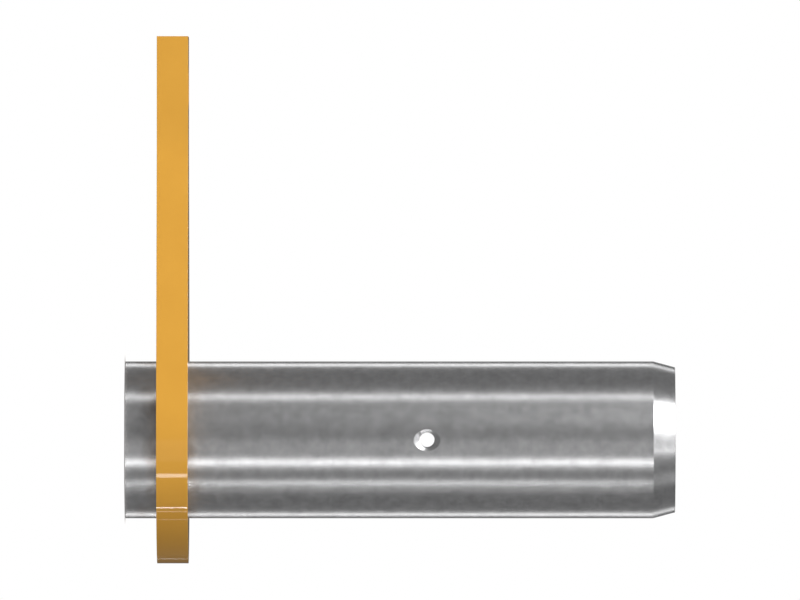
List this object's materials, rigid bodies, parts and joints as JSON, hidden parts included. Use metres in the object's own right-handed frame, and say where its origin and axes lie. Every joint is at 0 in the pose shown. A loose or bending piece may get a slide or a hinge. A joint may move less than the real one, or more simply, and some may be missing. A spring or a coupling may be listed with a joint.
{
  "type": "link pin",
  "caption": "Ground steel linkage pin with a lead-in tip, a cross grease hole and a welded flag plate whose tab bolts to the frame to stop it turning.",
  "frame": {"origin": "centre of the pin's flag-side end face, where the grease port opens", "axes": "+Z along the pin's axis towards the lead-in tip, +X from the axis towards the flag's tab, +Y along the cross hole's axis"},
  "size_m": [0.2687, 0.126, 0.2805],
  "materials": {
    "ground_steel": "ground along its length, lightly oiled",
    "yellow_enamel": "gloss enamel over blasted plate"
  },
  "bodies": {
    "root": {"pin": "ground_steel", "flag_plate": "yellow_enamel", "flag_weld": "yellow_enamel"}
  },
  "joints": []
}
